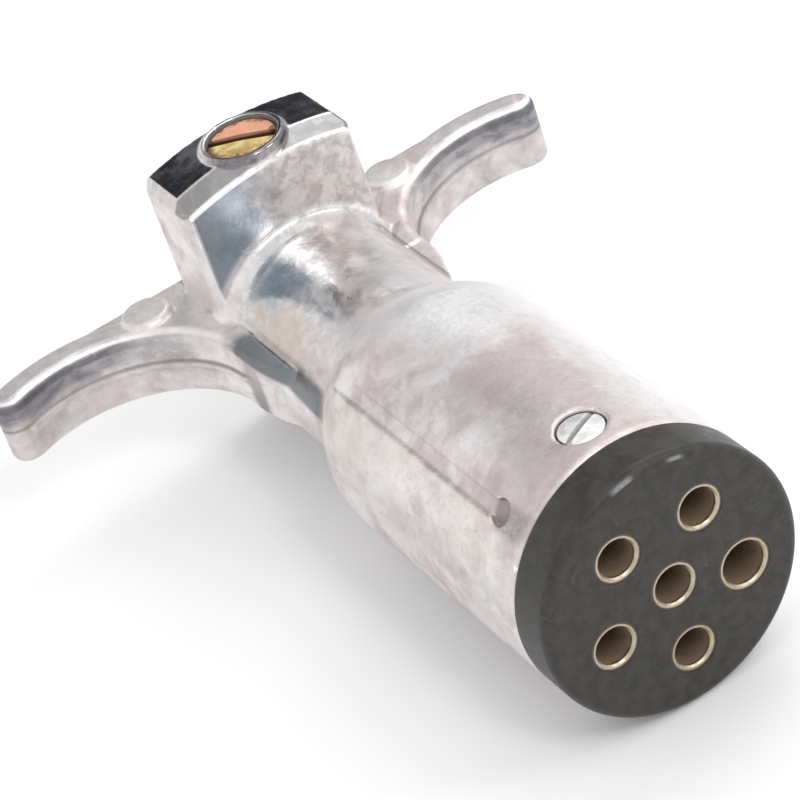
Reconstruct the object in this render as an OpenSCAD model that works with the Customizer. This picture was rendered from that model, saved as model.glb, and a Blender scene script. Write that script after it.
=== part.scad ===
/* Six-pole round-pin trailer wiring plug with a die-cast shell, finger wings
   and a screw cable clamp. Millimetres. The origin is the middle of the mating
   face, +Y runs back along the plug to the cable, +X is the right wing and
   +Z is the side that carries the retaining screw and the clamp screw. */

/* [Barrel] */
// Diameter of the round barrel that enters the vehicle socket
barrel_d = 35; // [34.6:0.1:36]
// Distance from the mating face to where the rear shoulder starts
barrel_len = 48; // [46:0.5:50]
// Radius of the arc that forms the rear shoulder
shoulder_r = 13.5; // [13:0.1:14.2]
// Diameter of the hollow that holds the insert
cavity_d = 29.2; // [29.1:0.1:29.3]
// Depth of the hollow from the front of the shell
cavity_len = 44; // [43:0.5:45]
// Depth of the shallow alignment groove along the barrel
groove_depth = 0.45; // [0.2:0.05:0.7]

/* [Neck and clamp head] */
// Diameter of the neck behind the shoulder
neck_d = 27; // [26.4:0.1:27.4]
// Distance from the mating face to the front of the clamp head
head_y = 84; // [82:0.5:85]
// Length of the clamp head along the plug
head_len = 13; // [12.5:0.5:14]
// Width of the clamp head
head_w = 26; // [25:0.5:27]
// Radius of the arched top of the clamp head
head_r = 45; // [40:1:55]
// Height of the arched top above the plug axis
head_top = 26; // [25.6:0.1:26.1]
// Diameter of the cable passage
passage_d = 19; // [18.8:0.1:19.2]

/* [Wings] */
// Distance from the plug axis to the centre of each finger curve
wing_cx = 33; // [32:0.5:34]
// Radius of the concave finger face
wing_r = 18; // [17.5:0.5:18.5]
// Thickness of the wing in plan
wing_t = 5; // [4.5:0.5:5.5]
// Height of the wing
wing_h = 10.4; // [9:0.2:12]
// Angle at which the wing tip ends
wing_end = 66; // [60:1:75]

/* [Sockets] */
// Diameter of the circle the five outer sockets sit on
pin_circle_d = 19.4; // [19.3:0.1:19.5]
// Diameter of the five signal pins that go in
pin_d = 4.76; // [4.6:0.02:4.8]
// Diameter of the large ground pin that goes in
ground_pin_d = 5.56; // [5.4:0.02:5.6]
// Gap between a pin and its socket all round
pin_gap = 0.06; // [0.03:0.01:0.09]

/* [Screws] */
// Diameter of the slotted clamp screw
clamp_screw_d = 9.9; // [9.6:0.1:10.2]
// Diameter of the head of the retaining screw
retaining_head_d = 5.7; // [5.2:0.1:5.8]
// Gap between each screw and the hole it turns in
screw_gap = 0.05; // [0.03:0.01:0.09]

/* [Hidden] */
$fn = 72;

barrel_r = barrel_d / 2;
neck_r = neck_d / 2;
cavity_r = cavity_d / 2;
passage_r = passage_d / 2;
pcr = pin_circle_d / 2;
flange_t = 6.4;             // thickness of the insert flange
insert_end = 26;            // rear face of the insert
head_end = head_y + head_len;
neck_end_y = head_y + 0.5;
wing_z = 1.3;               // middle height of the wings
wing_cy = 77;               // centre of the finger curve along the plug
wing_back = wing_cy + wing_r + wing_t;
ret_y = 11.9;               // retaining screw axis along the plug
clamp_y = head_y + 6;       // clamp screw axis along the plug
sig_r = pin_d / 2 + pin_gap;
gnd_r = ground_pin_d / 2 + pin_gap;
sleeve_wall = 0.7;
// angle of each outer socket seen from the front, from the right wing upward
a_tr = 54; a_tl = 126; a_l = 198; a_b = 270; a_g = 342;

// turns a solid of revolution about Z into one about the plug axis
module along_y() { rotate([-90, 0, 0]) children(); }

// moves a child from the plug axis out to an outer socket, keeping its height
// direction pointing away from the axis
module at_pin(a, r) { rotate([0, 90 - a, 0]) translate([0, 0, r]) children(); }

// rectangle with round corners
module round_rect(w, h, c) {
    square([w - 2 * c, h], center = true);
    square([w, h - 2 * c], center = true);
    for (x = [-1, 1]) for (y = [-1, 1])
        translate([x * (w / 2 - c), y * (h / 2 - c)]) circle(r = c, $fn = 32);
}

// ---------- shell ----------

module barrel_profile() {
    // straight barrel with a small broken edge at the front
    polygon([[0, flange_t + 0.1], [barrel_r - 0.4, flange_t + 0.1], [barrel_r, flange_t + 0.5],
             [barrel_r, barrel_len], [0, barrel_len]]);
    // arched shoulder down to the neck
    intersection() {
        translate([barrel_r - shoulder_r, barrel_len]) circle(r = shoulder_r, $fn = 120);
        translate([0, barrel_len]) square([barrel_r + 1, 11]);
    }
    // foot of the shoulder, neck, and its flare into the clamp head
    polygon([[0, barrel_len], [neck_r - 1, barrel_len], [neck_r + 1.5, barrel_len + 7],
             [neck_r + 0.75, barrel_len + 9], [neck_r + 0.25, barrel_len + 10.3], [neck_r, barrel_len + 11.8],
             [neck_r, head_y - 2.6], [neck_r + 0.25, head_y - 1.7], [neck_r + 0.8, head_y - 0.7],
             [neck_r + 1.5, head_y + 0.1], [neck_r + 1.5, head_y + 3], [0, head_y + 3]]);
}

// front view outline of the clamp head: a square block with an arched top
module head_outline() {
    hw = head_w / 2;
    intersection() {
        union() {
            circle(r = neck_r + 1.8);
            translate([-hw, 0]) square([head_w, 30]);
        }
        translate([0, head_top - head_r]) circle(r = head_r, $fn = 180);
        polygon([[-hw, -20], [hw, -20], [hw, 22.8], [hw - 1.1, 24.7], [hw - 5, 27.1],
                 [-hw + 5, 27.1], [-hw + 1.1, 24.7], [-hw, 22.8]]);
    }
}

module clamp_head() {
    hw = head_w / 2;
    intersection() {
        translate([0, head_end, 0]) rotate([90, 0, 0]) linear_extrude(height = head_len) head_outline();
        // bevel round the front and rear edge of the arched top
        translate([0, 0, head_top - head_r]) along_y() rotate_extrude($fn = 180)
            polygon([[0, head_y], [head_r - 1.55, head_y], [head_r + 0.05, head_y + 3.6],
                     [head_r + 0.05, head_end - 1], [head_r - 0.9, head_end], [0, head_end]]);
        // bevel down the four upright corners
        translate([0, 0, -40]) linear_extrude(height = 80)
            polygon([[-hw + 0.9, head_y], [hw - 0.9, head_y], [hw, head_y + 1.6], [hw, head_end - 1],
                     [hw - 1, head_end], [-hw + 1, head_end], [-hw, head_end - 1], [-hw, head_y + 1.6]]);
    }
    // low round boss that the clamp screw is threaded into
    translate([0, clamp_y, 20]) rotate_extrude()
        polygon([[0, 0], [clamp_screw_d / 2 + 0.95, 0], [clamp_screw_d / 2 + 0.95, 6.2],
                 [clamp_screw_d / 2 + 0.65, 6.5], [0, 6.5]]);
}

module wing() {
    rc = wing_r + wing_t / 2;
    ex = wing_cx + rc * cos(wing_end);
    ey = wing_cy + rc * sin(wing_end);
    translate([0, 0, wing_z]) {
        // curved finger band, with a slight parting ridge on the concave face
        translate([wing_cx, wing_cy, 0]) rotate([0, 0, wing_end])
            rotate_extrude(angle = 178 - wing_end, $fn = 120) {
                translate([rc, 0]) round_rect(wing_t, wing_h, 1.3);
                polygon([[wing_r + 0.5, -1.9], [wing_r - 0.42, -0.3], [wing_r - 0.42, 0.15],
                         [wing_r + 0.5, 0.9]]);
            }
        // rounded tip
        translate([ex, ey, 0]) rotate_extrude($fn = 60) intersection() {
            round_rect(wing_t - 0.16, wing_h - 0.16, 1.3);
            translate([0, -wing_h]) square([wing_t, 2 * wing_h]);
        }
        // web that carries the band into the neck and clamp head
        translate([0, 0, -wing_h / 2 + 0.5]) linear_extrude(height = wing_h - 1) difference() {
            polygon([[9.5, 78.8], [wing_cx - 3, 78.8], [wing_cx - 5, wing_back - 0.7],
                     [12, wing_back - 0.7], [10.8, head_end - 0.8], [9.8, head_end - 0.8]]);
            translate([wing_cx, wing_cy]) circle(r = wing_r + 0.7, $fn = 120);
        }
        // web in front of the finger curve, running out forward along the neck
        translate([0, 0, -wing_h / 2 + 0.2]) linear_extrude(height = wing_h - 0.4)
            polygon([[9.5, 79], [9.5, 66.2], [12.3, 66.2], [13.1, 68.4], [14, 71.2], [14.6, 74],
                     [14.9, 77], [14.8, 79]]);
        // low round pad on top of the wing root
        translate([19.6, 95.2, wing_h / 2 - 1.6]) rotate_extrude()
            polygon([[0, 0], [3.5, 0], [3.5, 1.9], [3.1, 2.25], [0, 2.4]]);
    }
}

module shell() {
    color("silver") difference() {
        union() {
            along_y() rotate_extrude($fn = 120) barrel_profile();
            clamp_head();
            wing();
            mirror([1, 0, 0]) wing();
        }
        // hollow for the insert, tapering to a throat, then the passage the bushing seats in
        along_y() rotate_extrude($fn = 120)
            polygon([[0, 5], [cavity_r, 5], [cavity_r, flange_t + cavity_len],
                     [passage_r - 1.5, flange_t + cavity_len + 7.5], [passage_r - 1.5, 68],
                     [passage_r, 68], [passage_r, head_end + 5], [0, head_end + 5]]);
        // threaded hole for the clamp screw
        translate([0, clamp_y, 4]) cylinder(h = 30, r = clamp_screw_d / 2 + screw_gap);
        // clearance hole and sunk seat for the retaining screw
        translate([0, ret_y, 0]) rotate_extrude()
            polygon([[0, 8], [1.95, 8], [1.95, 15.7], [retaining_head_d / 2 + 0.25, 15.7],
                     [retaining_head_d / 2 + 0.25, 22], [0, 22]]);
        // alignment groove with a round pocket at its front end
        rotate([0, -45, 0]) {
            translate([-1.1, 13, barrel_r - groove_depth]) cube([2.2, 48, 4]);
            translate([0, 12.6, barrel_r - 1]) cylinder(h = 5, r = 1.7);
        }
    }
}

// ---------- insert and contacts ----------

module insert() {
    color("#2b2b2e") difference() {
        along_y() rotate_extrude($fn = 120) {
            square([barrel_r - 1.35, flange_t]);
            translate([0, 1.2]) square([barrel_r - 0.15, flange_t - 1.2]);
            translate([barrel_r - 1.35, 1.2]) circle(r = 1.2, $fn = 48);
            square([cavity_r - 0.06, insert_end]);
        }
        for (a = [a_tr, a_tl, a_l, a_b]) at_pin(a, pcr)
            translate([0, -1, 0]) along_y() cylinder(h = 40, r = sig_r + sleeve_wall + 0.03);
        at_pin(a_g, pcr) translate([0, -1, 0]) along_y() cylinder(h = 40, r = gnd_r + sleeve_wall + 0.03);
        translate([0, -1, 0]) along_y() cylinder(h = 40, r = sig_r + sleeve_wall + 0.03);
        // seat for the threaded bush
        translate([0, ret_y, 10.3]) cylinder(h = 10, r = 2.93);
    }
}

// one brass contact: socket in front, shoulder, wire post behind
module contact_body(r, post_r, wire_r, post_end, screw_y) {
    color("goldenrod") difference() {
        along_y() rotate_extrude()
            polygon([[0, 16], [r, 16], [r, 0.28], [r + 0.2, 0.05], [r + sleeve_wall, 0.05],
                     [r + sleeve_wall, insert_end + 0.05], [post_r + 0.5, insert_end + 0.05],
                     [post_r + 0.5, insert_end + 1.8], [post_r, insert_end + 2.3],
                     [post_r, post_end - 0.4], [post_r - 0.4, post_end], [wire_r + 0.3, post_end],
                     [wire_r, post_end - 0.3], [wire_r, insert_end + 2.2], [0, insert_end + 1]]);
        translate([0, screw_y, 0]) cylinder(h = 12, r = 1.6 + screw_gap);
    }
}
module outer_contact(a) { at_pin(a, pcr) contact_body(sig_r, 3.3, 2, 39, 34); }
module contact_top_right() { outer_contact(a_tr); }
module contact_top_left() { outer_contact(a_tl); }
module contact_left() { outer_contact(a_l); }
module contact_bottom() { outer_contact(a_b); }
module contact_ground() { at_pin(a_g, pcr) contact_body(gnd_r, 3.8, 2.4, 39, 34); }
module contact_centre() { contact_body(sig_r, 3.3, 2, 47, 43); }

// headless slotted screw that pinches the wire, standing on its tip
module set_screw(len) {
    color("#9a9a9a") difference() {
        rotate_extrude() polygon([[0, 0], [1.1, 0], [1.6, 0.5], [1.6, len - 0.25], [1.35, len], [0, len]]);
        translate([-3, -0.25, len - 0.7]) cube([6, 0.5, 2]);
    }
}
module outer_screw(a, tip, len) { at_pin(a, pcr + tip) translate([0, 34, 0]) set_screw(len); }
module terminal_screw_top_right() { outer_screw(a_tr, 1.2, 3); }
module terminal_screw_top_left() { outer_screw(a_tl, 1.2, 3); }
module terminal_screw_left() { outer_screw(a_l, 1.2, 3); }
module terminal_screw_bottom() { outer_screw(a_b, 1.2, 3); }
module terminal_screw_ground() { outer_screw(a_g, 1.5, 2.8); }
module terminal_screw_centre() { translate([0, 43, 1.2]) set_screw(3); }

module insulating_sleeve() {
    color("#b9a27a") translate([0, insert_end + 0.2, 0]) along_y() difference() {
        cylinder(h = 23, r = cavity_r - 0.06, $fn = 120);
        translate([0, 0, -1]) cylinder(h = 30, r = cavity_r - 0.36, $fn = 120);
    }
}

// ---------- retaining screw ----------

module threaded_bush() {
    color("goldenrod") translate([0, ret_y, 10.35]) difference() {
        cylinder(h = 3.9, r = 2.88);
        translate([0, 0, -1]) cylinder(h = 6, r = 1.7 + screw_gap);
    }
}
module lock_washer() {
    color("#c8c8c8") translate([0, ret_y, 15.72]) difference() {
        cylinder(h = 0.4, r = retaining_head_d / 2 + 0.05);
        translate([0, 0, -1]) cylinder(h = 3, r = 1.7 + screw_gap);
    }
}
module retaining_screw() {
    color("#d8d8d8") translate([0, ret_y, 0]) difference() {
        rotate_extrude() polygon([[0, 10.6], [1.3, 10.6], [1.7, 11.1], [1.7, 16.14],
                                  [retaining_head_d / 2, 16.14], [retaining_head_d / 2, 16.95],
                                  [retaining_head_d / 2 - 0.4, 17.25], [0, 17.45]]);
        rotate([0, 0, 25]) translate([-4, -0.4, 16.75]) cube([8, 0.8, 2]);
    }
}

// ---------- cable clamp ----------

module cable_bushing() {
    color("#222222") translate([0, 69.1, 0]) along_y() rotate_extrude()
        polygon([[6.6, 0.5], [7.1, 0], [passage_r - 0.06, 0], [passage_r - 0.06, 4], [passage_r - 0.6, 4.5],
                 [passage_r - 0.6, 5.5], [passage_r - 0.06, 6], [passage_r - 0.06, 11],
                 [7.1, 11], [6.6, 10.5]]);
}
module bushing_washer() {
    color("#c8c8c8") translate([0, 80.15, 0]) along_y() difference() {
        cylinder(h = 1.2, r = passage_r - 0.06);
        translate([0, 0, -1]) cylinder(h = 4, r = 7);
    }
}
module clamp_saddle() {
    color("#b8b8b8") translate([0, clamp_y, 0]) difference() {
        intersection() {
            translate([0, -4.6, 0]) along_y() cylinder(h = 9.2, r = passage_r - 0.12);
            translate([-5.2, -4.6, 4]) cube([10.4, 9.2, 8]);
        }
        translate([0, -10, 0]) along_y() cylinder(h = 20, r = 7);
    }
}
module clamp_screw() {
    r = clamp_screw_d / 2;
    top = 26.1;
    color("#c98a3a") translate([0, clamp_y, 0]) difference() {
        rotate_extrude() polygon([[0, passage_r - 0.08], [r - 1, passage_r - 0.08], [r, passage_r + 0.9],
                                  [r, top - 0.5], [r - 0.5, top - 0.1], [0, top + 0.1]]);
        rotate([0, 0, -36]) translate([-8, -0.8, top - 2]) cube([16, 1.6, 4]);
    }
}

shell();
insert();
contact_top_right();
contact_top_left();
contact_left();
contact_bottom();
contact_ground();
contact_centre();
terminal_screw_top_right();
terminal_screw_top_left();
terminal_screw_left();
terminal_screw_bottom();
terminal_screw_ground();
terminal_screw_centre();
retaining_screw();
lock_washer();
threaded_bush();
insulating_sleeve();
cable_bushing();
bushing_washer();
clamp_saddle();
clamp_screw();
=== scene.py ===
"""A die-cast zinc cable connector.

Its axis lies along Y: the socket face is at y = 0 and the cable clamp head is at the far end.
The two wings reach out along -X (left) and +X (right), and the clamp screw stands up along Z.
Meshes, lights and camera are in metres; the materials work in millimetres.
"""
import bpy
import math
from functools import cached_property
from mathutils import Matrix, Vector


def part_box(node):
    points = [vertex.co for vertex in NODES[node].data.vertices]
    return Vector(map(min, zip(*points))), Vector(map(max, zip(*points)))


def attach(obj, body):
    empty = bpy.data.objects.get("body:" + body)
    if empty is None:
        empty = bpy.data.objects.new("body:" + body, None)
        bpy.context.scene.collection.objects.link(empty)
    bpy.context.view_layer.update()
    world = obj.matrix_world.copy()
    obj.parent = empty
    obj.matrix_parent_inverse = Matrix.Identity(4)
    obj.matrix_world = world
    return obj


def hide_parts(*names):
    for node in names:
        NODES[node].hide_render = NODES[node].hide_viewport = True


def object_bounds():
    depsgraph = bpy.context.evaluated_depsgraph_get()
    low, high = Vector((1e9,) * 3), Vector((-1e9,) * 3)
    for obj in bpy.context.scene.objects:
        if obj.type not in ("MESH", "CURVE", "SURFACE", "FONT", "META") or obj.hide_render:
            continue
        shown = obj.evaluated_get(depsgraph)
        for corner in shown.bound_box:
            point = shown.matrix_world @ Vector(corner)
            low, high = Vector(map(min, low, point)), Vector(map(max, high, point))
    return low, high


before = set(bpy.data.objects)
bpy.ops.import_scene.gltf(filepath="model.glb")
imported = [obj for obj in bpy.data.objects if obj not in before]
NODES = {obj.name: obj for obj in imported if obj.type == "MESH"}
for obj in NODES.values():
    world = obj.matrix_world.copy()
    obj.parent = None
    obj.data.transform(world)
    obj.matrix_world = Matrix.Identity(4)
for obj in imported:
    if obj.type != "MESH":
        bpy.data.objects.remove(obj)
cad_lo, cad_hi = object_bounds()

MM = 0.001
DEGREES = 57.2958           # degrees in a radian
DIAGONAL = 0.70711          # x and z share of a direction at 45 degrees
CLAMP_SCREW_Y = 90.0        # mm, axis of the clamp screw, at x = 0


# ------------------------------------------------------------------ shader graphs
class Value:
    """A shader output. Arithmetic on it adds Math nodes."""
    def __init__(self, graph, socket):
        self.graph, self.socket = graph, socket

    def __add__(self, other):
        return self.graph.math("ADD", self, other)

    def __sub__(self, other):
        return self.graph.math("SUBTRACT", self, other)

    def __rsub__(self, other):
        return self.graph.math("SUBTRACT", other, self)

    def __mul__(self, other):
        return self.graph.math("MULTIPLY", self, other)

    def __pow__(self, other):
        return self.graph.math("POWER", self, other)

    def __abs__(self):
        return self.graph.math("ABSOLUTE", self)

    def sqrt(self):
        return self.graph.math("SQRT", self)

    def fade(self, start, end, low=0.0, high=1.0, smooth=True):
        """Run from low to high as this value goes from start to end."""
        return self.graph.value("MapRange", {0: self, 1: start, 2: end, 3: low, 4: high}, clamp=True,
                                interpolation_type="SMOOTHSTEP" if smooth else "LINEAR")


class Graph:
    """Adds and links the shader nodes of a material or world."""
    def __init__(self, owner):
        owner.use_nodes = True
        self.tree = owner.node_tree
        self.tree.nodes.clear()

    def put(self, socket, value):
        if isinstance(value, Value):
            self.tree.links.new(value.socket, socket)
        else:
            socket.default_value = (*value, 1.0) if socket.type == "RGBA" else value

    def node(self, kind, inputs=None, **settings):
        node = self.tree.nodes.new("ShaderNode" + kind)
        for key, setting in settings.items():
            setattr(node, key, setting)
        for key, value in (inputs or {}).items():
            self.put(node.inputs[key], value)
        return node

    def value(self, kind, inputs=None, output=0, **settings):
        return Value(self, self.node(kind, inputs, **settings).outputs[output])

    def split(self, vector):
        return tuple(Value(self, s) for s in self.node("SeparateXYZ", {0: vector}).outputs)

    def math(self, operation, first, second=0.0, clamp=False):
        return self.value("Math", {0: first, 1: second}, operation=operation, use_clamp=clamp)

    def mix(self, factor, under, over):
        return self.value("Mix", {0: factor, 6: under, 7: over}, output=2, data_type="RGBA")

    def lerp(self, factor, start, end):
        return self.value("Mix", {0: factor, 2: start, 3: end}, data_type="FLOAT")

    def ramp(self, factor, stops):
        """Stops are (position, colour or grey level)."""
        node = self.node("ValToRGB", {0: factor})
        elements = node.color_ramp.elements
        while len(elements) < len(stops):
            elements.new(0.5)
        for element, (position, tone) in zip(elements, stops):
            element.position = position
            element.color = (*tone, 1) if isinstance(tone, tuple) else (tone, tone, tone, 1)
        return Value(self, node.outputs[0])


class Surface(Graph):
    """A material whose colour is painted on layer by layer, placed in object millimetres."""
    def __init__(self, name):
        self.material = bpy.data.materials.new(name)
        super().__init__(self.material)
        self.shader = self.node("BsdfPrincipled")
        self.node("OutputMaterial", {0: Value(self, self.shader.outputs[0])})

    @cached_property
    def position(self):
        metres = self.value("TexCoord", output="Object")
        return self.value("VectorMath", {0: metres, 3: 1000.0}, operation="SCALE")

    @cached_property
    def xyz(self):
        return self.split(self.position)

    @cached_property
    def geometry(self):
        return self.node("NewGeometry").outputs

    @cached_property
    def pointiness(self):
        return Value(self, self.geometry["Pointiness"])

    @cached_property
    def angle(self):
        """Degrees round the plug's axis: 0 at the top, negative towards the left wing."""
        x, _, z = self.xyz
        return self.math("ARCTAN2", x, z) * DEGREES

    @cached_property
    def from_screw(self):
        """Distance from the axis of the clamp screw."""
        x, y, _ = self.xyz
        return (x * x + (y - CLAMP_SCREW_Y) ** 2.0).sqrt()

    def radius(self, centre_x=0.0, centre_z=0.0):
        """Distance from an axis along Y."""
        x, _, z = self.xyz
        across, height = x - centre_x, z - centre_z
        return (across * across + height * height).sqrt()

    def noise(self, scale, detail=4.0, roughness=0.55, distortion=0.0, stretch=None):
        vector = self.position
        if stretch:
            vector = self.value("VectorMath", {0: vector, 1: stretch}, operation="MULTIPLY")
        return self.value("TexNoise", {"Vector": vector, "Scale": scale, "Detail": detail,
                                       "Roughness": roughness, "Distortion": distortion})

    def bump(self, height, depth_mm, strength, below=None):
        inputs = {"Strength": strength, "Distance": depth_mm * MM, "Height": height}
        if below:
            inputs["Normal"] = below
        return self.value("Bump", inputs)

    def paint(self, mask, tone, amount=None):
        """Lay a tone over the colour where the mask is 1."""
        factor = mask if amount is None else mask * amount
        self.colour = self.mix(factor, self.colour, tone)

    def finish(self, roughness, normal=None, metallic=0.0, specular=0.5):
        inputs = {"Base Color": self.colour, "Metallic": metallic, "Roughness": roughness,
                  "Specular IOR Level": specular}
        if normal:
            inputs["Normal"] = normal
        for key, value in inputs.items():
            self.put(self.shader.inputs[key], value)
        return self.material


# ------------------------------------------------------------------ cast zinc
class CastZinc(Surface):
    """Dull, mottled with browner patches and faintly pitted on the barrel and wings, buffed on the
    neck and head.

    The numbers in fade() and band() are millimetres for places and radii, degrees for
    `angle`, components for normals, and noise levels for the clouds.
    """
    def __init__(self):
        super().__init__("cast_zinc")
        self.big = self.noise(scale=0.075, detail=5, roughness=0.6, distortion=0.6)
        self.mid = self.noise(scale=0.30, detail=6, roughness=0.62, distortion=0.3)
        self.fine = self.noise(scale=1.5, detail=5, roughness=0.6)
        self.micro = self.noise(scale=8.0, detail=3, roughness=0.6)
        self.warm = self.noise(scale=0.12, detail=4, roughness=0.6, stretch=(1.0, 1.0, 1.6))
        self.cloud = self.noise(scale=0.55, detail=5, roughness=0.65, distortion=0.5)
        self.warp = (self.mid - 0.5) * 1.0
        self.from_axis = self.radius()
        self.side_x = abs(self.xyz[0])
        _, self.normal_y, self.normal_z = self.split(Value(self, self.geometry["Normal"]))

    def band(self, value, low, high, soft, wander=0.0):
        """1 where low < value < high, with soft ends that wander with the noise."""
        if wander:
            value = value + self.warp * wander
        return (value.fade(low - soft, low + soft)
                * value.fade(high - soft, high + soft, 1.0, 0.0))

    def front_of_head(self):
        """The face of the clamp head that looks towards -Y."""
        return self.band(self.xyz[1], 83.2, 84.6, 0.4) * self.normal_y.fade(-0.55, -0.8)

    def find_buffing(self):
        x, y, z = self.xyz
        flare = self.math("MAXIMUM", y - 80.5, 0.0) * 0.7
        neck = ((self.from_axis - flare).fade(13.75, 14.1, 1.0, 0.0) * y.fade(84.2, 83.6)
                * self.angle.fade(28, 4, 0.30, 1.0))
        head = y.fade(83.2, 83.8) * self.side_x.fade(12.2, 12.9, 1.0, 0.0)
        buffed = (y + self.warp * 12.0).fade(58.0, 66.0) * self.math("MAXIMUM", neck, head)
        buffed = buffed * self.big.fade(0.60, 0.48, 0.45, 1.0)
        # the wall of the tapped hole under the clamp screw was never buffed
        self.hole = (self.from_screw.fade(5.30, 5.15) * self.normal_z.fade(0.5, 0.3)
                     * z.fade(4.0, 6.0))
        self.buffed = buffed * (1.0 - self.hole)

    def paint_skin(self):
        x, y, z = self.xyz
        angle, mid, band = self.angle, self.mid, self.band
        # pale, with pinkish and taupe clouds
        self.tone = self.big * 0.5 + mid * 0.5
        self.colour = self.ramp(self.tone, [
            (0.33, (0.50, 0.445, 0.43)), (0.43, (0.66, 0.60, 0.585)),
            (0.52, (0.80, 0.755, 0.745)), (0.66, (0.90, 0.885, 0.88))])
        self.paint(self.warm.fade(0.46, 0.64, 0.0, 0.45), (0.70, 0.585, 0.57))
        # browner, darker patches across the top of the barrel and to its left
        brown_patch = (band(angle, -19, 20, soft=8, wander=24) * band(y, 10, 34, soft=5, wander=20)
                 * mid.fade(0.36, 0.58, 0.55, 1.0))
        self.paint(brown_patch, (0.50, 0.42, 0.41), amount=0.66)
        brown_patch = band(angle, -44, -16, soft=8, wander=20) * band(y, 8, 18, soft=3, wander=8)
        self.paint(brown_patch, (0.46, 0.37, 0.35), amount=0.40)
        # painted light: a near-white sweep round the shoulder and along the right side
        pale = self.math("MAXIMUM", band(y, 37, 58, soft=5, wander=18) * angle.fade(-30, 2),
                         angle.fade(20, 46) * y.fade(62, 54))
        pale_tone = self.mix(angle.fade(0, 25), (0.985, 0.98, 0.985), (0.89, 0.882, 0.887))
        self.paint(pale, pale_tone, amount=0.75)
        # small casting pits, with painted shade on their floor
        cells = self.value("TexVoronoi", {"Vector": self.position, "Scale": 1.15}, "Distance")
        pits = cells.fade(0.05, 0.16, 1.0, 0.0) * mid.fade(0.50, 0.60)
        self.pits = pits * (1.0 - self.buffed)
        self.paint(self.pits, (0.24, 0.215, 0.205), amount=0.5)

    def paint_groove(self):
        """The alignment groove on the upper left of the barrel and its pocket, with painted shade
        along the groove and in the pocket.
        """
        x, y, z = self.xyz
        angle, mid, band = self.angle, self.mid, self.band
        across = (x + z) * DIAGONAL
        # darker on the upper side of the groove than below it, where it is paler and creamier
        above = (across.fade(-1.35, -0.9) * (angle + self.warp * 24.0).fade(-14, -30)
                 * band(y, 9, 47, soft=5, wander=10) * angle.fade(0, -10))
        below = (across.fade(-0.9, -1.35) * angle.fade(-100, -60)
                 * band(y, 8, 60, soft=4, wander=8))
        self.paint(above, (0.50, 0.43, 0.42), amount=mid.fade(0.35, 0.62, 0.44, 0.16))
        self.paint(below, (0.80, 0.745, 0.68), amount=self.warm.fade(0.40, 0.60, 0.15, 0.45))
        # painted shade along one edge of the groove and in the pocket, and a dark smudge in front of
        # the pocket
        groove_shade = (band(across, -1.45, -0.95, soft=0.18) * band(y, 12.0, 52.0, soft=1.5)
                 * angle.fade(0, -10))
        self.paint(groove_shade, (0.30, 0.26, 0.25), amount=mid.fade(0.35, 0.60, 0.60, 0.15))
        smudge = (band(across, -2.0, 1.6, soft=0.7, wander=1.0)
                  * band(y, 7.4, 12.4, soft=1.2, wander=2.5) * angle.fade(0, -10))
        self.paint(smudge, (0.27, 0.24, 0.235), amount=self.fine.fade(0.35, 0.60, 0.80, 0.45))
        # painted shade in the pocket
        pocket = ((across * across + (y - 12.6) ** 2.0).sqrt().fade(1.95, 1.4)
                  * angle.fade(0, -10) * self.from_axis.fade(17.4, 17.1))
        self.paint(pocket, (0.20, 0.175, 0.165), amount=0.5)

    def paint_buffing(self):
        x, y, z = self.xyz
        angle, from_axis, mid, band = self.angle, self.from_axis, self.mid, self.band
        metal = self.mix(self.cloud.fade(0.38, 0.62), (0.56, 0.56, 0.575), (0.83, 0.82, 0.815))
        metal = self.mix(self.warm.fade(0.48, 0.62, 0.0, 0.55), metal, (0.70, 0.61, 0.555))
        self.paint(self.buffed, metal, amount=0.85)
        # beige patch on the upper left of the neck
        beige = (band(angle, -62, -36, soft=5, wander=12) * band(y, 64, 80, soft=3, wander=8)
                 * from_axis.fade(14.3, 13.9))
        self.paint(beige, (0.58, 0.495, 0.43), amount=mid.fade(0.36, 0.58, 0.78, 0.45))
        # painted shade in the corner where the left finger curve meets its web
        corner = (band(y, 74.2, 77.4, soft=0.7, wander=1.5) * from_axis.fade(13.9, 14.3)
                  * self.side_x.fade(16.2, 15.4) * x.fade(-5, -8) * z.fade(6.2, 5.4))
        self.paint(corner, (0.24, 0.23, 0.23), amount=z.fade(4.0, -2.0, 0.45, 0.85))

    def paint_dark_reflections(self):
        """Painted dark reflections, as deep slate patches, in the buffed metal."""
        x, y, z = self.xyz
        angle, from_axis, band = self.angle, self.from_axis, self.band
        # distance from the axis of the head's arched top
        arch_z = z + 19.0
        self.arch = (x * x + arch_z * arch_z).sqrt()
        # painted dark reflection on the top of the head
        top = (y.fade(87.4, 87.8) * y.fade(96.4, 96.0) * self.normal_z.fade(0.86, 0.93)
               * self.arch.fade(44.5, 44.8) * self.from_screw.fade(6.0, 6.4)
               * self.side_x.fade(12.6, 12.0) * self.mid.fade(0.30, 0.42, 0.80, 1.0))
        top_tone = self.mix(self.cloud.fade(0.38, 0.60), (0.135, 0.137, 0.158), (0.225, 0.22, 0.24))
        self.paint(top, top_tone, amount=0.90)
        # painted slate-blue reflection on the left of the head's front face
        face = (self.front_of_head() * from_axis.fade(15.5, 16.6)
                * (x + self.warp * 16.0).fade(3.0, -6.5) * self.side_x.fade(13.2, 12.4))
        self.paint(face, (0.265, 0.315, 0.365), amount=0.86)
        # painted blue-grey reflection on the upper left of the neck, near the head
        neck_top = (band(angle, -42, -19, soft=5, wander=18)
                    * band(y, 74.5, 82.6, soft=1.6, wander=8) * from_axis.fade(13.9, 13.3))
        self.paint(neck_top, (0.40, 0.485, 0.55), amount=0.85)
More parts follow.
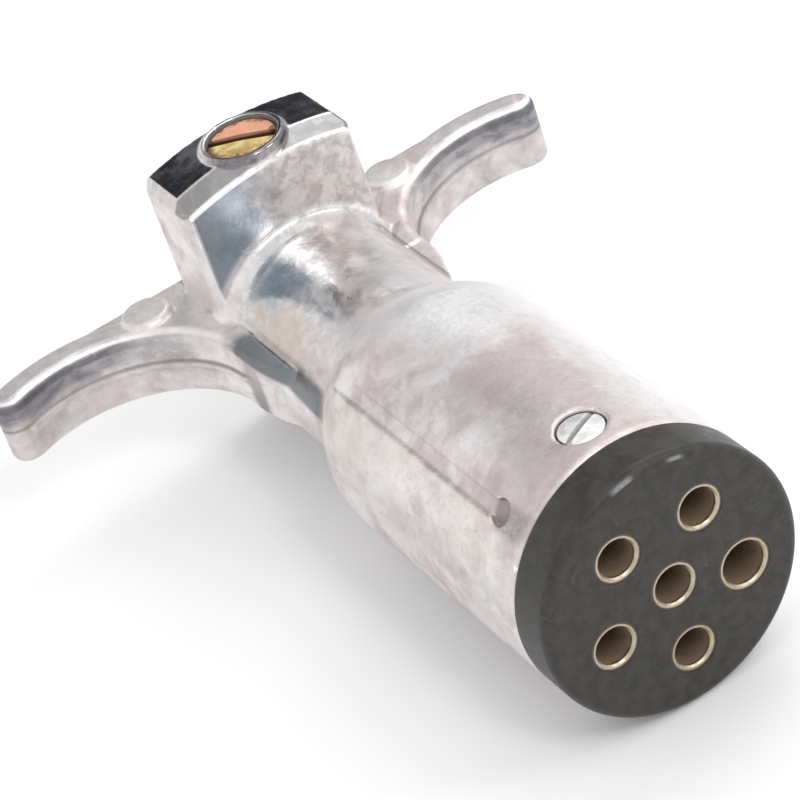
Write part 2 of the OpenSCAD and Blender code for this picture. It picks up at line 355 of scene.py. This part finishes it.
        # painted dark reflection on the left of the neck, above the web
        over_web = z - (y - 60.0) * 0.15
        self.neck_left = (band(angle, -81, -61, soft=2.5, wander=5)
                          * band(y, 58.5, 79.5, soft=2.0, wander=4)
                          * over_web.fade(1.6, 2.6) * from_axis.fade(16.8, 16.2))
        self.paint(self.neck_left, (0.165, 0.182, 0.190), amount=0.92)
        # faint painted dark reflection on the right of the neck
        neck_right = (band(angle, 52, 64, soft=3, wander=6) * band(y, 66, 84, soft=3, wander=8)
                      * from_axis.fade(14.3, 13.9))
        self.paint(neck_right, (0.40, 0.38, 0.385), amount=0.25)

    def paint_head(self):
        x, y, z = self.xyz
        band, cloud = self.band, self.cloud
        # painted grey reflection on the bevel round the front of the head, and a painted highlight
        # along the rim of its front edge
        bevel = (band(y, 84.5, 87.3, soft=0.2) * self.arch.fade(43.2, 43.6)
                 * self.side_x.fade(13.3, 12.9) * z.fade(18, 20))
        bevel_tone = self.mix(x.fade(-3.0, 4.0), (0.29, 0.285, 0.29), (0.15, 0.152, 0.15))
        self.paint(bevel, bevel_tone, amount=self.mid.fade(0.36, 0.62, 0.95, 0.78))
        rim = (band(y, 83.9, 84.45, soft=0.12) * band(self.arch, 43.0, 43.75, soft=0.12)
               * z.fade(18, 20) * cloud.fade(0.30, 0.45, 0.5, 1.0))
        self.paint(rim, (0.96, 0.955, 0.95))
        # low boss round the clamp screw: painted darker in front, bright behind
        self.boss = (self.from_screw.fade(6.2, 6.0) * z.fade(25.0, 25.4)
                     * (y - x * 0.6).fade(95.0, 90.5))
        self.paint(self.boss, (0.19, 0.17, 0.195), amount=self.fine.fade(0.35, 0.60, 0.97, 0.7))
        # the right of the front face is duller and warmer
        dull = (self.front_of_head() * self.from_axis.fade(15.3, 16.2) * x.fade(-4, 3)
                * cloud.fade(0.35, 0.60, 1.0, 0.5))
        self.paint(dull, (0.43, 0.385, 0.365), amount=0.85)

    def paint_wings(self):
        x, y, z = self.xyz
        side_x, normal_y, normal_z, band = self.side_x, self.normal_y, self.normal_z, self.band
        cloud = self.noise(scale=0.22, detail=5, roughness=0.65, distortion=0.4,
                           stretch=(1.0, 1.0, 1.8))
        wing = side_x.fade(15.0, 19.0)
        # painted shade on the steep sides, then on the flat top, by which way they face
        steep = wing * normal_z.fade(0.75, 0.45)
        self.paint(steep, (0.38, 0.355, 0.36),
                   amount=cloud.fade(0.40, 0.60, 0.74, 0.34) * z.fade(0.5, 2.5, 0.45, 1.0))
        flat = side_x.fade(20, 27) * normal_z.fade(0.75, 0.95)
        self.paint(flat, (0.47, 0.46, 0.475), amount=cloud.fade(0.40, 0.60, 0.50, 0.10))
        # painted shade on the tip, and on the underside
        tip = (side_x.fade(27, 38) * z.fade(1.5, 3.5) * normal_z.fade(0.85, 0.55)
               * cloud.fade(0.62, 0.42, 0.45, 1.0))
        self.paint(tip, (0.29, 0.28, 0.305), amount=0.72)
        low = wing * z.fade(-4.0, -5.6) * normal_z.fade(0.6, 0.2)
        self.paint(low, (0.33, 0.32, 0.32), amount=0.5)
        # painted shade under the top edge, darker towards the tip, darkest right beneath it
        under_edge = (side_x.fade(19, 33) * band(z, 2.9, 5.9, soft=0.5, wander=1.5)
                      * normal_y.fade(0.2, -0.15))
        self.paint(under_edge, (0.20, 0.20, 0.228), amount=cloud.fade(0.40, 0.60, 0.88, 0.55))
        shade = (side_x.fade(20, 26) * band(z, 4.7, 5.75, soft=0.25, wander=0.6)
                 * normal_y.fade(0.2, -0.15) * self.mid.fade(0.34, 0.56, 0.55, 1.0))
        self.paint(shade, (0.13, 0.132, 0.150), amount=0.72)
        # painted highlight along the rounded top edge
        bright = (side_x.fade(20.0, 23.0) * band(z, 5.95, 6.35, soft=0.1)
                  * normal_z.fade(0.95, 0.80) * normal_z.fade(0.25, 0.45))
        self.paint(bright, (0.96, 0.955, 0.95), amount=0.7)
        parting_line = (side_x.fade(14.2, 15.5) * y.fade(66.0, 70.0)
                        * band(z, 1.55, 2.0, soft=0.22) * normal_y.fade(0.3, 0.0))
        self.paint(parting_line, (0.25, 0.225, 0.23), amount=0.78)

    def paint_barrel(self):
        x, y, z = self.xyz
        angle, from_axis, band = self.angle, self.from_axis, self.band
        # painted shade on the lower side
        under = ((angle + self.warp * 8.0).fade(-103, -114) * angle.fade(-150, -140)
                 * y.fade(56, 50) * from_axis.fade(13.0, 14.5))
        self.paint(under, (0.40, 0.375, 0.375), amount=0.62)
        # painted shade in the crease where the right web leaves the neck
        web_crease_shade = (x.fade(4, 7) * band(from_axis, 13.8, 14.15, soft=0.12)
                * band(y, 60, 84, soft=3) * band(z, 4.0, 9.0, soft=0.8))
        self.paint(web_crease_shade, (0.26, 0.25, 0.26), amount=0.6)
        # painted highlight on the left side of the mouth
        lip = band(angle, -104, -58, soft=8) * y.fade(7.0, 3.0)
        self.paint(lip, (0.97, 0.93, 0.905), amount=0.7)
        skin = self.noise(scale=0.85, detail=7, roughness=0.72, distortion=0.8)
        mottle = skin.fade(0.50, 0.66) * y.fade(40, 30) * angle.fade(70, 30)
        self.paint(mottle, (0.50, 0.44, 0.435), amount=0.30)

    def paint_hole_and_wear(self):
        # painted shade in the tapped hole, with paler rings 1.5 mm apart standing in for the screw
        # thread (radians per mm)
        thread = self.math("SINE", self.xyz[2] * 4.18879)
        self.paint(self.hole,
                   self.mix(thread.fade(-0.6, 0.6), (0.15, 0.135, 0.12), (0.34, 0.32, 0.30)))
        # bright worn edges, and painted shade in the hollows
        kept_dark = self.math("MAXIMUM", self.boss * 0.75, self.math(
            "MAXIMUM", self.neck_left, self.side_x.fade(14.5, 17.5)))
        self.edge = self.pointiness.fade(0.52, 0.575) * (1.0 - kept_dark)
        self.paint(self.edge, (0.97, 0.965, 0.96), amount=0.85)
        self.paint(self.pointiness.fade(0.485, 0.44), (0.25, 0.235, 0.23), amount=0.6)

    def polish(self):
        """Roughness and relief."""
        buffed, mid, fine = self.buffed, self.mid, self.fine
        rough = self.ramp(self.tone, [(0.3, 0.62), (0.5, 0.50), (0.7, 0.40)])
        rough = rough + (fine - 0.5) * 0.25
        rough = self.lerp(buffed, rough, mid.fade(0.35, 0.65, 0.12, 0.26))
        rough = self.lerp(self.edge * 0.6, rough, 0.20)
        rough = self.lerp(self.hole, rough, 0.72)
        # long fine scratches along the plug
        scratches = self.noise(scale=2.2, detail=2, roughness=0.5, stretch=(3.0, 0.12, 3.0))
        rough = self.math("ADD", rough, scratches.fade(0.60, 0.70) * 0.08, clamp=True)
        relief = 1.0 - buffed * 0.6
        normal = self.bump(mid * relief, depth_mm=0.12, strength=0.4)
        normal = self.bump(fine * relief, depth_mm=0.06, strength=0.4, below=normal)
        normal = self.bump(self.micro * relief, depth_mm=0.012, strength=0.35, below=normal)
        normal = self.bump(self.pits * -1.0, depth_mm=0.10, strength=0.6, below=normal)
        return self.finish(rough, normal, metallic=self.lerp(buffed, 0.88, 1.0))


def cast_zinc():
    zinc = CastZinc()
    zinc.find_buffing()
    zinc.paint_skin()
    zinc.paint_groove()
    zinc.paint_buffing()
    zinc.paint_dark_reflections()
    zinc.paint_head()
    zinc.paint_wings()
    zinc.paint_barrel()
    zinc.paint_hole_and_wear()
    return zinc.polish()


# ------------------------------------------------------------------ other materials
def age_clamp_screw(g, mottle):
    """Coppery far half of the head, beyond the slot, and tarnish creeping in from the edge."""
    slot_angle = math.radians(36)
    tarnish_radius = 4.9
    x, y, _ = g.xyz
    beyond_slot = x * math.sin(slot_angle) + (y - CLAMP_SCREW_Y) * math.cos(slot_angle)
    g.paint((beyond_slot + (mottle - 0.5) * 2.5).fade(-0.5, 0.7), (0.97, 0.50, 0.325))
    ragged = g.noise(scale=0.8, detail=5, roughness=0.7, distortion=0.5)
    creep = (g.from_screw + (ragged - 0.5) * 6.0).fade(tarnish_radius - 1.3, tarnish_radius - 0.1)
    g.paint(creep, (0.20, 0.10, 0.075), amount=0.85)
    spots = g.noise(scale=1.6, detail=4, roughness=0.7)
    g.paint(spots.fade(0.56, 0.70, 0.0, 0.30), (0.50, 0.24, 0.12))


def metal(name, tones, rough, dark, scale=0.9, metallic=1.0, brushed=None, slot_z=None, aged=False):
    """Metal mottled between two tones, with painted shade in its hollows and below slot_z, in the
    screw slot.

    brushed stretches the grain; rough is the (low, high) roughness.
    """
    g = Surface(name)
    mottle = g.noise(scale=scale, detail=5, roughness=0.6, distortion=0.4)
    grain = g.noise(scale=scale * 9, detail=3, roughness=0.6)
    g.colour = g.mix(mottle.fade(0.35, 0.65), *tones)
    worn = tuple(min(1.0, c * 1.3 + 0.05) for c in tones[1])
    g.paint(g.pointiness.fade(0.51, 0.57), worn, amount=0.5)
    # painted shade in the hollows
    g.paint(g.pointiness.fade(0.485, 0.44), dark, amount=0.8)
    if aged:
        age_clamp_screw(g, mottle)
    if slot_z:
        # painted shade in the screw slot, below slot_z
        g.paint(g.xyz[2].fade(slot_z, slot_z - 0.35, 0.0, 0.93), dark)
    roughness = g.math("ADD", mottle.fade(0.3, 0.7, *rough), (grain - 0.5) * 0.12, clamp=True)
    if brushed:
        grain = g.noise(scale=6.0, detail=2, roughness=0.5, stretch=brushed)
        roughness = g.math("ADD", roughness, (grain - 0.5) * 0.2, clamp=True)
    return g.finish(roughness, g.bump(grain, depth_mm=0.012, strength=0.35), metallic)


def contact_brass(piece):
    """Brass that is bright at the mouth of the socket and oxidised brown inside, with painted shade
    deepening towards the bottom of the bore.
    """
    lo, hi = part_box(piece)
    bore = 2.84 if (hi.x - lo.x) > 8.2 * MM else 2.44       # radius, mm
    g = Surface("brass_contact")
    mottle = g.noise(scale=1.3, detail=5, roughness=0.6, distortion=0.3)
    grain = g.noise(scale=10.0, detail=3, roughness=0.6)
    radius = g.radius((lo.x + hi.x) / 2 * 1000, (lo.z + hi.z) / 2 * 1000)
    y = g.xyz[1]
    inside = radius.fade(bore + 0.16, bore + 0.02) * y.fade(0.25, 1.0) * y.fade(24.0, 22.0)
    g.colour = g.mix(mottle.fade(0.35, 0.65), (0.44, 0.36, 0.255), (0.58, 0.495, 0.385))
    # oxidised brass inside the bore, with painted shade darkening it with depth
    deep = g.ramp(y.fade(0.6, 12.0, smooth=False), [
        (0.0, (0.30, 0.22, 0.15)), (0.4, (0.22, 0.155, 0.105)), (1.0, (0.12, 0.085, 0.06))])
    g.paint(inside, deep, amount=mottle.fade(0.3, 0.6, 0.85, 1.0))
    # moulding film over the outer part of the ring
    film = (radius + (mottle - 0.5) * 0.25).fade(bore + 0.38, bore + 0.50) * y.fade(0.6, 0.4)
    g.paint(film, (0.045, 0.040, 0.034), amount=0.9)
    roughness = mottle.fade(0.3, 0.7, 0.30, 0.46) + g.math("MAXIMUM", inside, film) * 0.25
    return g.finish(roughness, g.bump(grain, depth_mm=0.012, strength=0.4),
                    metallic=g.lerp(g.math("MAXIMUM", inside, film), 1.0, 0.4))


def paint_rim_highlights(g, grain):
    """Two short painted highlights on the front rim of the disc."""
    radius, angle, y = g.radius(), g.angle, g.xyz[1]
    # inner and outer radius (mm), first and last angle (degrees)
    for inner, outer, first, last in ((16.45, 16.85, -14.0, -3.0), (16.3, 16.65, 12.5, 20.0)):
        ring = radius.fade(inner - 0.20, inner + 0.10) * radius.fade(outer + 0.20, outer - 0.10)
        arc = angle.fade(first - 1.5, first + 3.0) * angle.fade(last + 1.5, last - 3.0)
        g.paint(ring * arc * y.fade(0.9, 0.7) * grain.fade(0.35, 0.55, 0.5, 1.0),
                (0.26, 0.255, 0.25))


def plastic(name, tones, rough, rubbed, bump_mm=0.03, scale=0.5, specular=0.4, rim_highlights=False):
    """Non-metal mottled between two tones, dusty and rubbed paler by handling."""
    g = Surface(name)
    mottle = g.noise(scale=scale, detail=6, roughness=0.62, distortion=0.3)
    grain = g.noise(scale=7.0, detail=4, roughness=0.65)
    smears = g.noise(scale=1.6, detail=5, roughness=0.7, distortion=1.2)
    g.colour = g.mix(mottle.fade(0.35, 0.65), *tones)
    dust = g.noise(scale=0.9, detail=6, roughness=0.7)
    g.paint(dust.fade(0.60, 0.74), rubbed, amount=0.18)
    handling = g.noise(scale=0.35, detail=5, roughness=0.7, distortion=0.8)
    g.paint(handling.fade(0.58, 0.72, 0.0, 0.35), rubbed)
    # painted highlights on the front rim
    if rim_highlights:
        paint_rim_highlights(g, grain)
    roughness = g.math("ADD", mottle.fade(0.3, 0.7, *rough), smears.fade(0.62, 0.72) * 0.10,
                       clamp=True)
    normal = g.bump(grain, depth_mm=bump_mm, strength=0.4)
    normal = g.bump(mottle, depth_mm=bump_mm * 2.5, strength=0.3, below=normal)
    return g.finish(roughness, normal, specular=specular)


ZINC = cast_zinc()
STEEL = metal("plated_steel", tones=((0.66, 0.66, 0.67), (0.80, 0.80, 0.80)),
              rough=(0.22, 0.38), dark=(0.22, 0.21, 0.20), brushed=(0.3, 3.0, 3.0))
SCREW = metal("retaining_screw", tones=((0.70, 0.69, 0.69), (0.84, 0.83, 0.83)),
              rough=(0.42, 0.55), dark=(0.40, 0.375, 0.365), metallic=0.75,
              brushed=(0.3, 3.0, 3.0), slot_z=17.05)
BRASS = metal("bright_brass", tones=((0.80, 0.58, 0.28), (0.92, 0.74, 0.44)),
              rough=(0.18, 0.34), dark=(0.25, 0.14, 0.06))
COPPER = metal("copper_brass", tones=((0.60, 0.38, 0.15), (0.88, 0.69, 0.31)),
               rough=(0.38, 0.52), dark=(0.11, 0.05, 0.025), scale=0.5, metallic=0.55,
               brushed=(3.0, 0.25, 3.0), slot_z=25.85, aged=True)
BLACK = plastic("black_moulding", tones=((0.027, 0.0250, 0.0222), (0.046, 0.0422, 0.0378)),
                rough=(0.34, 0.50), rubbed=(0.105, 0.098, 0.090), specular=0.36, rim_highlights=True)
RUBBER = plastic("black_rubber", tones=((0.018, 0.018, 0.018), (0.032, 0.031, 0.030)),
                 rough=(0.60, 0.78), rubbed=(0.09, 0.085, 0.08), bump_mm=0.05)
PAPER = plastic("insulating_paper", tones=((0.42, 0.31, 0.17), (0.54, 0.42, 0.26)),
                rough=(0.62, 0.80), rubbed=(0.62, 0.50, 0.34), bump_mm=0.06, scale=0.8)

PIECE_MATERIALS = {
    "retaining_screw": SCREW, "lock_washer": STEEL, "bushing_washer": STEEL,
    "clamp_saddle": STEEL, "threaded_bush": BRASS, "clamp_screw": COPPER,
    "insert": BLACK, "cable_bushing": RUBBER, "insulating_sleeve": PAPER,
}


# ------------------------------------------------------------------ pieces
def link(name, data):
    ob = bpy.data.objects.new(name, data)
    bpy.context.scene.collection.objects.link(ob)
    return ob


def give(ob, material):
    ob.data.materials.clear()
    ob.data.materials.append(material)


def shade_smooth(mesh):
    for polygon in mesh.polygons:
        polygon.use_smooth = True


def remeshed(piece, voxel_mm, smoothing_steps):
    """A denser copy of a CAD piece with softly rounded edges."""
    source = link("tmp", NODES[piece].data.copy())
    source.modifiers.new("weld", "WELD").merge_threshold = 2e-6
    remesh = source.modifiers.new("remesh", "REMESH")
    remesh.mode = "VOXEL"
    remesh.voxel_size = voxel_mm * MM
    remesh.adaptivity = 0.0
    smooth = source.modifiers.new("smooth", "SMOOTH")
    smooth.factor = 0.5
    smooth.iterations = smoothing_steps
    depsgraph = bpy.context.evaluated_depsgraph_get()
    mesh = bpy.data.meshes.new_from_object(source.evaluated_get(depsgraph))
    bpy.data.objects.remove(source)
    shade_smooth(mesh)
    return mesh


def build_shell():
    mesh = remeshed("shell", voxel_mm=0.25, smoothing_steps=4)
    shell = link("shell_casting", mesh)
    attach(shell, "plug")
    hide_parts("shell")
    give(shell, ZINC)


def material_for(piece):
    if piece.startswith("contact_"):
        return contact_brass(piece)
    if piece.startswith("terminal_screw"):
        return STEEL
    return PIECE_MATERIALS.get(piece)


def dress_piece(piece, ob):
    """Give a CAD piece its material, and shade it smooth between crisp edges."""
    material = material_for(piece)
    if material:
        give(ob, material)
    shade_smooth(ob.data)
    ob.modifiers.new("edges", "EDGE_SPLIT").split_angle = math.radians(28)
    flats = ob.modifiers.new("flats", "WEIGHTED_NORMAL")
    flats.mode = "FACE_AREA"
    flats.weight = 80
    flats.keep_sharp = True


build_shell()
for piece, ob in NODES.items():
    if piece != "shell":
        dress_piece(piece, ob)


# ------------------------------------------------------------------ floor, light, camera
def build_floor():
    bpy.ops.mesh.primitive_plane_add(size=8, location=(0, 0.05, cad_lo.z))
    floor = bpy.context.object
    floor.name = "floor"
    g = Surface("floor")
    g.colour = (0.93, 0.93, 0.935)
    give(floor, g.finish(roughness=0.9, specular=0.1))


def area_light(name, location, target, size, power):
    light = bpy.data.lights.new(name, "AREA")
    light.shape = "RECTANGLE"
    light.size, light.size_y = size
    light.energy = power
    ob = link(name, light)
    ob.location = location
    ob.rotation_mode = "QUATERNION"
    ob.rotation_quaternion = (Vector(target) - Vector(location)).to_track_quat("-Z", "Y")


def build_world():
    """A pale room; glossy surfaces also see the dark end of the studio behind the plug."""
    world = bpy.data.worlds.new("studio")
    bpy.context.scene.world = world
    g = Graph(world)
    view = g.value("TexCoord", output="Generated")
    seen = (0.96, 0.96, 0.965)
    # direction, inner and outer angle of the cone (degrees), colour
    for direction, inner, outer, tone in (
            ((-0.05, 0.80, 0.52), 8, 17, (0.10, 0.105, 0.125)),
            ((0.28, 0.825, 0.49), 12, 19, (0.06, 0.065, 0.08)),
            ((0.52, 0.80, 0.22), 9, 16, (0.10, 0.105, 0.125))):
        axis = tuple(Vector(direction).normalized())
        cosine = g.value("VectorMath", {0: view, 1: axis}, "Value", operation="DOT_PRODUCT")
        cone = cosine.fade(math.cos(math.radians(outer)), math.cos(math.radians(inner)))
        seen = g.mix(cone, seen, tone)
    glossy = g.value("LightPath", output="Is Glossy Ray")
    room = g.mix(glossy, (0.93, 0.935, 0.94), seen)
    g.node("OutputWorld", {0: g.value("Background", {0: room, 1: 1.0})})


def build_camera():
    data = bpy.data.cameras.new("cam")
    camera = link("cam", data)
    right = Vector((0.828117, -0.495222, -0.262636))
    up = Vector((0.48223, 0.390501, 0.784196))
    back = right.cross(up).normalized()
    axes = Matrix((right, up, back)).transposed()
    roll = math.radians(1.15)       # turn of the whole view about the plug's axis
    camera.matrix_world = (Matrix.Rotation(roll, 4, "Y")
                           @ Matrix.Translation((-0.11792, -0.25414, 0.22588)) @ axes.to_4x4())
    data.lens, data.sensor_width = 142.05, 36.0
    data.clip_start, data.clip_end = 0.02, 20.0
    bpy.context.scene.camera = camera


build_floor()
area_light("key", location=(0.10, -0.60, 0.74), target=(0, 0.02, 0), size=(0.22, 0.30), power=1.75)
area_light("side", location=(0.66, -0.46, 0.57), target=(0, 0.03, 0), size=(0.20, 0.30), power=0.9)
area_light("back", location=(0.52, 0.42, 0.72), target=(0, 0.05, 0), size=(0.50, 0.50), power=1.7)
build_world()
build_camera()
bpy.context.scene.view_settings.view_transform = "Standard"
bpy.context.scene.view_settings.exposure = 0.0

bpy.context.view_layer.update()
